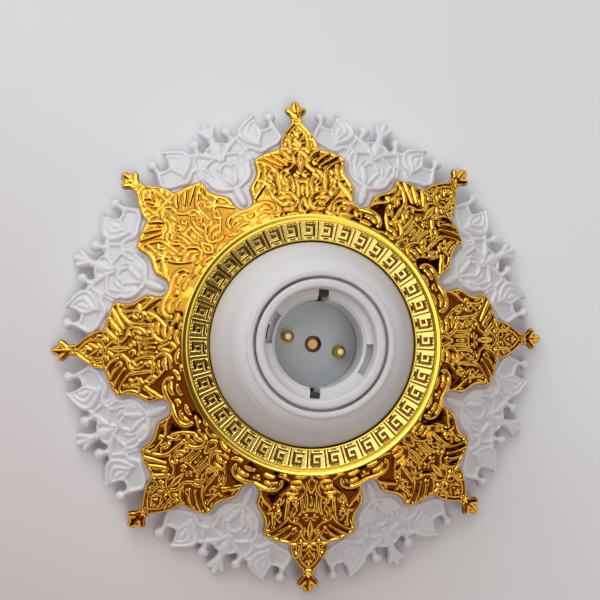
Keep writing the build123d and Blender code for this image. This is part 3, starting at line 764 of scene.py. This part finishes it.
def ringProfile():
    inner = keyRing["inner"]
    outer = keyRing["outer"]
    shellIn = outer - keyRing["wall"]
    ringFoot = keyFloor - keyRing["wall"]
    grooveFloor = keyFloor - keyRing["grooveDepth"]
    beadRise = keyRing["beadRise"]
    rimRise = keyRing["rimRise"]
    section = [(inner, ringFoot), (shellIn, ringFoot), (shellIn, seatTop), (outer, seatTop)]
    section += beadArc(beadIn, outer, ringTop - beadRise, beadRise, keyRing["beadSteps"])
    section += [(beadIn, grooveFloor), (bandOuter, grooveFloor), (bandOuter, keyFloor), (bandInner, keyFloor)]
    section += beadArc(inner, bandInner, ringTop - rimRise, rimRise, keyRing["rimSteps"])
    return section + [(inner, ringFoot)]


ringMesh = turned(ringProfile(), keyRing["steps"])
finishPiece(ringMesh, "goldRing", ringGold, "holder", ["meander_ring"], keyRing["sharp"])

keyStrokes = [  # one unit of the key, across the pitch and along the radius, both from -1 to 1
    [(-0.72, -0.95), (-0.72, 0.86), (0.56, 0.86), (0.56, -0.36), (-0.18, -0.36), (-0.18, 0.34), (0.2, 0.34)],
    [(-0.42, -0.86), (0.62, -0.86)],
    [(0.86, -0.95), (0.86, 0.95)],
]
keyPits = [  # middle and half size of the small pits in the outer line
    (-0.40, 0.86, 0.09, 0.07),
    (-0.06, 0.86, 0.09, 0.07),
    (0.30, 0.86, 0.13, 0.07),
    (0.10, -0.86, 0.3, 0.05),
]


def softEdge(reach):
    step = numpy.clip(reach / keyLines["edge"] + 0.5, 0, 1)
    return step * step * (3 - 2 * step)


def keyHeight(u, v):
    best = numpy.full(u.shape, clear)
    for line in keyStrokes:
        for a, b in zip(line[:-1], line[1:]):
            du, dv = offsets(u, v, a, b)[:2]
            best = numpy.minimum(best, numpy.maximum(abs(du), abs(dv)))
    height = softEdge(keyLines["half"] - best)
    for a, b, wide, tall in keyPits:
        height = numpy.minimum(height, softEdge(numpy.maximum(abs(u - a) - wide, abs(v - b) - tall)))
    return height


def keyBand():
    bm = bmesh.new()
    pitch = 2 * math.pi / keyLines["count"]
    middle = (bandOuter + bandInner) / 2
    across = round(pitch * middle / keyLines["cell"])
    along = round((bandOuter - bandInner) / keyLines["cell"])
    bmesh.ops.create_grid(bm, x_segments=along, y_segments=across, size=1.0)
    marks = bm.verts.layers.float.new("relief")
    u = numpy.array([v.co.y for v in bm.verts])
    v = numpy.array([v.co.x for v in bm.verts])
    rise = keyHeight(u, v) * keyLines["relief"]
    for vert, a, b, h in zip(bm.verts, u, v, rise):
        reach = middle + b * (bandOuter - bandInner) / 2
        turn = a * pitch / 2
        vert[marks] = h
        vert.co = (reach * math.cos(turn), reach * math.sin(turn), keyFloor + keyLines["lift"] + h)
    roundTheAxis(bm, keyLines["count"])
    rims = [e for e in bm.edges if e.is_boundary]
    lower = bmesh.ops.extrude_edge_only(bm, edges=rims)["geom"]
    for vert in lower:
        if isinstance(vert, bmesh.types.BMVert):
            vert.co.z = keyFloor - keyLines["root"]
    feet = [e for e in lower if isinstance(e, bmesh.types.BMEdge) and e.is_boundary]
    bmesh.ops.bridge_loops(bm, edges=feet)
    bmesh.ops.recalc_face_normals(bm, faces=bm.faces)
    return bm


finishPiece(keyBand(), "keyBand", paleGold, "holder", [], keyLines["sharp"])
print("ring done")

# bell cover, as radius and height above the ring
bell = {
    "foot": (27.5, -9.0),
    "flank": [(27.5, -1.2), (27.05, 0.4), (25.3, 6.2), (23.5, 11.0), (22.1, 14.8), (21.7, 15.7)],
    "crown": [(21.45, 15.9), (20.9, 17.0), (20.0, 17.9), (19.1, 18.45), (18.75, 18.6)],
    "crease": (18.6, 18.8),  # between the crown and the lip
    "lip": (17.8, 19.2),
    "lipRound": 0.8,
    "ledge": [(17.3, 20.0), (17.0, 19.9), (16.9, 19.6), (16.9, 16.6), (16.35, 16.5), (16.35, 16.1)],
    "inside": [(19.9, 14.2), (23.6, 5.4), (23.6, -2.4), (25.7, -2.4), (25.7, -9.0)],
    "steps": 192,
    "sharp": 35.0,
}
quarter = [math.radians(a) for a in range(0, 91, 10)]


def bellProfile():
    x, z = bell["lip"]
    lip = [(x + bell["lipRound"] * math.cos(a), z + bell["lipRound"] * math.sin(a)) for a in quarter]
    outside = [bell["foot"]] + smoothPath(bell["flank"], 6) + smoothPath(bell["crown"], 5)
    section = outside + [bell["crease"]] + lip + bell["ledge"] + bell["inside"] + [bell["foot"]]
    return [(x, ringTop + z) for x, z in section]


bellMesh = turned(bellProfile(), bell["steps"])
finishPiece(bellMesh, "bellCover", whiteBell, "cover", ["dome_cover"], bell["sharp"])
print("bell done")

# plain pieces keep their form
plainForms = {
    "bayonet_barrel": ("lampBarrel", whiteBell, "holder", "white_barrel"),
    "contact_insert": ("contactInsert", greyInsert, "holder", "grey_insert"),
    "plunger_left": ("contactPinLeft", brass, "plunger_left", "brass"),
    "plunger_right": ("contactPinRight", brass, "plunger_right", "brass"),
    "centre_screw": ("centreScrew", agedBrass, "holder", "brass"),
}
plainSharp = 20.0


def joined(node):
    # faces that meet share their corners, so rounds shade evenly
    bm = bmesh.new()
    bm.from_mesh(nodes[node].data)
    bmesh.ops.scale(bm, verts=bm.verts, vec=(1000, 1000, 1000))
    bmesh.ops.remove_doubles(bm, verts=bm.verts, dist=weld["joined"])
    bmesh.ops.dissolve_limit(bm, angle_limit=math.radians(0.2), verts=bm.verts, edges=bm.edges)
    return bm


for node, (name, finish, body, slot) in plainForms.items():
    finishPiece(joined(node), name, finish, body, [node], plainSharp)

barrelLip = {
    "outer": 16.2,
    "inner": 13.9,
    "round": 0.85,
    "proud": 0.05,  # above the barrel's own end
    "skin": 0.01,  # outside the barrel's own walls
    "inset": 0.5,
    "tall": 1.6,
    "steps": 160,
    "sharp": 50.0,
}


def lipProfile():
    # rounded lip of the barrel
    r = barrelLip["round"]
    inset = barrelLip["inset"]
    outer = barrelLip["outer"] + barrelLip["skin"]
    inner = barrelLip["inner"] - barrelLip["skin"]
    top = mouthTop + barrelLip["proud"]
    foot = top - barrelLip["tall"]
    section = [(outer - r + r * math.cos(a), top - r + r * math.sin(a)) for a in quarter]
    section += [(inner + r - r * math.sin(a), top - r + r * math.cos(a)) for a in quarter]
    return section + [(inner + inset, foot), (outer - inset, foot), section[0]]


lipMesh = turned(lipProfile(), barrelLip["steps"])
finishPiece(lipMesh, "barrelLip", whiteBell, "holder", [], barrelLip["sharp"])

pinSlot = {
    "angle": 83.5,
    "reach": 13.05,
    "thick": 1.45,
    "wide": 2.56,
    "top": 5.0,  # below the barrel's mouth
    "bottom": 11.0,
    "sharp": 40.0,
}


def slotBacks():
    # painted shadow: dark blocks in the outer part of both pin slots, where the slots are in shade
    bm = bmesh.new()
    tall = pinSlot["bottom"] - pinSlot["top"]
    middle = mouthTop - (pinSlot["bottom"] + pinSlot["top"]) / 2
    for turn in (0, math.pi):
        plate = bmesh.ops.create_cube(bm, size=1.0)["verts"]
        bmesh.ops.scale(bm, verts=plate, vec=(pinSlot["thick"], pinSlot["wide"], tall))
        bmesh.ops.translate(bm, verts=plate, vec=(pinSlot["reach"], 0, middle))
        spin = Matrix.Rotation(math.radians(pinSlot["angle"]) + turn, 3, "Z")
        bmesh.ops.rotate(bm, verts=plate, cent=(0, 0, 0), matrix=spin)
    return bm


finishPiece(slotBacks(), "slotBacks", slotShade, "holder", [], pinSlot["sharp"])

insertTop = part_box("contact_insert")[1][2] * 1000
eyelet = {
    "hole": 1.3,
    "bore": 1.95,
    "lip": 2.25,
    "depth": 1.95,
    "wall": 0.09,
    "floor": 0.15,
    "tuck": 0.05,  # of the lip's underside below the insert's face
    "innerRoll": [(0.0, -0.1), (0.05, 0.08), (0.16, 0.12)],  # from the bore's edge
    "outerRoll": [(-0.05, 0.08), (0.0, 0.0)],  # from the lip's edge
    "steps": 48,
    "sharp": 40.0,
}


def eyeletProfile():
    # thin brass cup with a rolled lip, let into the insert; its dark colour is painted shade of the recess
    # round the screw
    floor = insertTop - eyelet["depth"]
    under = floor - eyelet["floor"]
    hole = eyelet["hole"]
    shell = eyelet["bore"] + eyelet["wall"]
    section = [(hole, floor), (eyelet["bore"], floor)]
    section += [(eyelet["bore"] + x, insertTop + z) for x, z in eyelet["innerRoll"]]
    section += [(eyelet["lip"] + x, insertTop + z) for x, z in eyelet["outerRoll"]]
    return section + [(shell, insertTop - eyelet["tuck"]), (shell, under), (hole, under), (hole, floor)]


eyeletMesh = turned(eyeletProfile(), eyelet["steps"])
finishPiece(eyeletMesh, "centreEyelet", darkBrass, "holder", [], eyelet["sharp"])

insertRim = {
    "inner": 11.0,
    "outer": 11.58,
    "drop": 0.15,
    "deep": 0.8,
    "steps": 120,
    "sharp": 40.0,
}


def rimProfile():
    # the insert's edge reaches the bore
    top = insertTop - insertRim["drop"]
    foot = top - insertRim["deep"]
    inner = insertRim["inner"]
    outer = insertRim["outer"]
    return [(inner, foot), (outer, foot), (outer, top), (inner, top), (inner, foot)]


rimMesh = turned(rimProfile(), insertRim["steps"])
finishPiece(rimMesh, "insertRim", greyInsert, "holder", [], insertRim["sharp"])
coilSharp = 60.0


def contactSpring(side):
    # the coil stands on its pillar
    node = "plunger_spring_" + side
    name = "contactSpring" + side.title()
    coil = finishPiece(joined(node), name, steel, None, [node], coilSharp)
    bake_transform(coil)


contactSpring("left")
contactSpring("right")

plainFinish = {
    "holder_base": whiteBase,
    "terminal_pillar_left": brass,
    "terminal_pillar_right": brass,
    "terminal_screw_left": steel,
    "terminal_screw_right": steel,
    "centre_nut": steel,
    "plate_screws": steel,
    "barrel_screws": steel,
}
for node, finish in plainFinish.items():
    nodes[node].data.materials.clear()
    nodes[node].data.materials.append(finish)
print("plain pieces done")

# floor, light and camera, in metres
floorPaint = {
    "size": 16.0,
    "roughness": 0.7,
    # painted shade: the floor goes from a darker, pinker tone to a paler one across the view
    "near": (0.76, 0.69, 0.70, 1),
    "far": (0.95, 0.98, 1.0, 1),
    "slant": (0.6, 1.0, 0.0),  # direction of the painted shade, from the darker tone to the paler
    "span": (-0.13, 0.04),
    "glow": (0.64, 0.64, 0.65, 1),  # keeps the floor pale out to the walls
    "glowSpan": (0.16, 0.4),
}


def mathNode(tree, operation):
    node = tree.nodes.new("ShaderNodeMath")
    node.operation = operation
    return node


def vectorNode(tree, operation, value=(0, 0, 0)):
    node = tree.nodes.new("ShaderNodeVectorMath")
    node.operation = operation
    node.inputs[1].default_value = value
    return node


def stepNode(tree, span, shape="SMOOTHSTEP"):
    step = tree.nodes.new("ShaderNodeMapRange")
    step.interpolation_type = shape
    step.inputs["From Min"].default_value = span[0]
    step.inputs["From Max"].default_value = span[1]
    return step


def colorMix(tree, a=(1, 1, 1, 1), b=(1, 1, 1, 1), blend="MIX"):
    mix = tree.nodes.new("ShaderNodeMix")
    mix.data_type = "RGBA"
    mix.blend_type = blend
    mix.inputs["Factor"].default_value = 1.0
    mix.inputs["A"].default_value = a
    mix.inputs["B"].default_value = b
    return mix


def paintFloor():
    material, tree, shader = newMaterial("floorPaint")
    shader.inputs["Roughness"].default_value = floorPaint["roughness"]
    shader.inputs["Emission Color"].default_value = floorPaint["glow"]
    place = tree.nodes.new("ShaderNodeTexCoord")
    path = tree.nodes.new("ShaderNodeLightPath")
    slant = vectorNode(tree, "DOT_PRODUCT", floorPaint["slant"])
    span = stepNode(tree, floorPaint["span"], "LINEAR")
    # painted shade across the floor, from the darker tone to the paler
    tone = colorMix(tree, floorPaint["near"], floorPaint["far"])
    reach = vectorNode(tree, "LENGTH")
    away = stepNode(tree, floorPaint["glowSpan"])
    mirrored = mathNode(tree, "MAXIMUM")
    seen = mathNode(tree, "MAXIMUM")
    glow = mathNode(tree, "MULTIPLY")
    paint = colorMix(tree, b=(0, 0, 0, 1))
    link = tree.links.new
    link(place.outputs["Object"], slant.inputs[0])
    link(slant.outputs["Value"], span.inputs["Value"])
    link(span.outputs["Result"], tone.inputs["Factor"])
    link(place.outputs["Object"], reach.inputs[0])
    link(reach.outputs["Value"], away.inputs["Value"])
    link(path.outputs["Is Glossy Ray"], mirrored.inputs[0])
    link(path.outputs["Is Transmission Ray"], mirrored.inputs[1])
    link(path.outputs["Is Camera Ray"], seen.inputs[0])
    link(mirrored.outputs["Value"], seen.inputs[1])
    link(away.outputs["Result"], glow.inputs[0])
    link(seen.outputs["Value"], glow.inputs[1])
    link(tone.outputs["Result"], paint.inputs["A"])
    link(glow.outputs["Value"], paint.inputs["Factor"])
    link(paint.outputs["Result"], shader.inputs["Base Color"])
    link(glow.outputs["Value"], shader.inputs["Emission Strength"])
    return material


def makeFloor():
    bm = bmesh.new()
    bmesh.ops.create_grid(bm, x_segments=1, y_segments=1, size=floorPaint["size"] / 2)
    mesh = bpy.data.meshes.new("floor")
    bm.to_mesh(mesh)
    bm.free()
    floor = bpy.data.objects.new("floor", mesh)
    bpy.context.scene.collection.objects.link(floor)
    mesh.materials.append(paintFloor())


makeFloor()

lamps = {
    "windowLight": {"place": (-0.35, 0.55, 0.75), "size": 1.1, "power": 5.0, "color": (0.96, 0.99, 1.0)},
    "fillLight": {"place": (0.1, -0.4, 0.9), "size": 0.5, "power": 1.6, "color": (0.97, 0.98, 1.0)},
}
lampAim = Vector((0, 0, 0.02))


def areaLight(name, look):
    lamp = bpy.data.lights.new(name, "AREA")
    lamp.size = look["size"]
    lamp.energy = look["power"]
    lamp.color = look["color"]
    light = bpy.data.objects.new(name, lamp)
    light.location = look["place"]
    light.rotation_euler = (lampAim - Vector(look["place"])).to_track_quat("-Z", "Y").to_euler()
    bpy.context.scene.collection.objects.link(light)


for name, look in lamps.items():
    areaLight(name, look)

room = {
    "strength": 1.34,
    "window": (-0.3, 0.95, 0.0),  # the brighter side of the room
    "windowSpan": (0.1, 0.85),
    "windowSide": (1.26, 1.32, 1.38, 1),
    "farSide": (0.16, 0.07, 0.045, 1),
    "patch": (0.04, 0.015, 0.01, 1),
    "patchScale": 2.8,
    "patchSpan": (0.485, 0.515),
    "walls": (0.49, 0.49, 0.50, 1),
    "wallTop": (0.12, 0.20),
    "ceilingFoot": (0.70, 0.80),
    "ceiling": (0.08, 0.055, 0.04, 1),
    "skylight": (1.02, 1.0, 0.96, 1),
    "skylightSide": (-0.02, 0.2),
    "skylightFoot": (0.88, 0.93),
}


def makeRoom():
    # pale walls, then a bright window side with dark patches, and a dark ceiling with a skylight
    world = bpy.data.worlds.new("room")
    bpy.context.scene.world = world
    world.use_nodes = True
    tree = world.node_tree
    back = tree.nodes["Background"]
    back.inputs["Strength"].default_value = room["strength"]
    place = tree.nodes.new("ShaderNodeTexCoord")
    split = tree.nodes.new("ShaderNodeSeparateXYZ")
    side = vectorNode(tree, "DOT_PRODUCT", room["window"])
    towards = stepNode(tree, room["windowSpan"])
    tone = colorMix(tree, room["farSide"], room["windowSide"])
    patch = tree.nodes.new("ShaderNodeTexNoise")
    patch.inputs["Scale"].default_value = room["patchScale"]
    patch.inputs["Detail"].default_value = 1.0
    gate = stepNode(tree, room["patchSpan"])
    dark = colorMix(tree, room["patch"])
    upper = colorMix(tree, blend="MULTIPLY")
    aboveWalls = stepNode(tree, room["wallTop"])
    walls = colorMix(tree, room["walls"])
    overhead = stepNode(tree, room["ceilingFoot"])
    across = stepNode(tree, room["skylightSide"])
    highest = stepNode(tree, room["skylightFoot"])
    lit = mathNode(tree, "MULTIPLY")
    ceiling = colorMix(tree, room["ceiling"], room["skylight"])
    whole = colorMix(tree)
    link = tree.links.new
    link(place.outputs["Generated"], split.inputs["Vector"])
    link(place.outputs["Generated"], side.inputs[0])
    link(place.outputs["Generated"], patch.inputs["Vector"])
    link(side.outputs["Value"], towards.inputs["Value"])
    link(towards.outputs["Result"], tone.inputs["Factor"])
    link(patch.outputs["Fac"], gate.inputs["Value"])
    link(gate.outputs["Result"], dark.inputs["Factor"])
    link(tone.outputs["Result"], upper.inputs["A"])
    link(dark.outputs["Result"], upper.inputs["B"])
    link(split.outputs["Z"], aboveWalls.inputs["Value"])
    link(aboveWalls.outputs["Result"], walls.inputs["Factor"])
    link(upper.outputs["Result"], walls.inputs["B"])
    link(split.outputs["Z"], overhead.inputs["Value"])
    link(split.outputs["X"], across.inputs["Value"])
    link(split.outputs["Z"], highest.inputs["Value"])
    link(across.outputs["Result"], lit.inputs[0])
    link(highest.outputs["Result"], lit.inputs[1])
    link(lit.outputs["Value"], ceiling.inputs["Factor"])
    link(overhead.outputs["Result"], whole.inputs["Factor"])
    link(walls.outputs["Result"], whole.inputs["A"])
    link(ceiling.outputs["Result"], whole.inputs["B"])
    link(whole.outputs["Result"], back.inputs["Color"])


makeRoom()

photoView = {
    "lens": 60.0,
    "sensor": 36.0,
    "turn": (-0.046, 0.093, 0.021),  # about X, then Y, then Z
    "shift": (0.378, -13.373, -300.32),  # in millimetres
    "nearest": 0.01,
}


def makeCamera():
    lens = bpy.data.cameras.new("photoCamera")
    lens.lens = photoView["lens"]
    lens.sensor_width = photoView["sensor"]
    lens.clip_start = photoView["nearest"]
    camera = bpy.data.objects.new("photoCamera", lens)
    bpy.context.scene.collection.objects.link(camera)
    rx, ry, rz = photoView["turn"]
    turn = Matrix.Rotation(rz, 3, "Z") @ Matrix.Rotation(ry, 3, "Y") @ Matrix.Rotation(rx, 3, "X")
    shift = Vector(photoView["shift"])
    place = -(turn.transposed() @ shift) + Vector((0, 0, rose["tipHeight"]))
    camera.matrix_world = Matrix.Translation(place * 0.001) @ turn.transposed().to_4x4()
    bpy.context.scene.camera = camera


makeCamera()
bpy.context.scene.view_settings.view_transform = "Standard"
for leftOver in ("Cube", "Light", "Camera"):
    thing = bpy.data.objects.get(leftOver)
    if thing:
        bpy.data.objects.remove(thing)
print("stage done")
